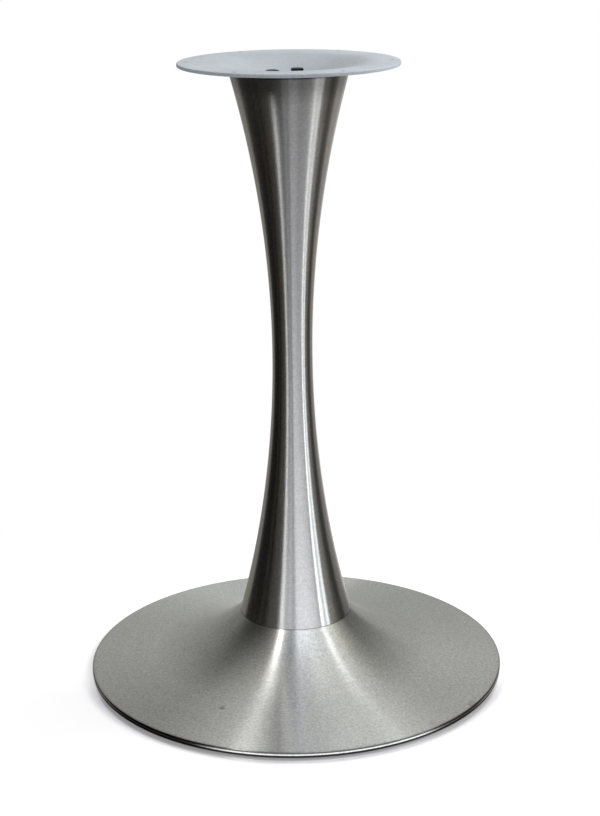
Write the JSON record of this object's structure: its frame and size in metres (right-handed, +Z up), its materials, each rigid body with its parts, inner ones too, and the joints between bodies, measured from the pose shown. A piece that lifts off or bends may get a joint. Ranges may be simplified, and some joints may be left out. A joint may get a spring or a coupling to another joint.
{
  "type": "trumpet table base",
  "caption": "Brushed stainless trumpet column on a flared round foot, with a dished top plate whose screw holes carry a round table top.",
  "frame": {"origin": "middle of the foot, on the floor", "axes": "+Z up along the column's axis; +X runs through one of the plate's screw holes"},
  "size_m": [0.5, 0.5, 0.73],
  "materials": {
    "powder_coat": "fine satin powder coat, silver grey",
    "black_steel": "black oxide",
    "brushed_stainless": "fine brushing around the axis",
    "black_rubber": "matt",
    "painted_steel": "black primer",
    "zinc_plate": "bright zinc plating"
  },
  "bodies": {
    "root": {"top_plate": "powder_coat", "plate_bolts": "black_steel", "column_shell": "brushed_stainless", "foot_cover": "brushed_stainless", "edge_ring": "black_rubber", "floor_pads": "black_rubber", "ballast_plate": "painted_steel", "neck_support": "painted_steel", "clamping_rod": "zinc_plate", "rod_nut": "zinc_plate", "rod_washer": "zinc_plate", "head_flange": "zinc_plate"}
  },
  "joints": []
}
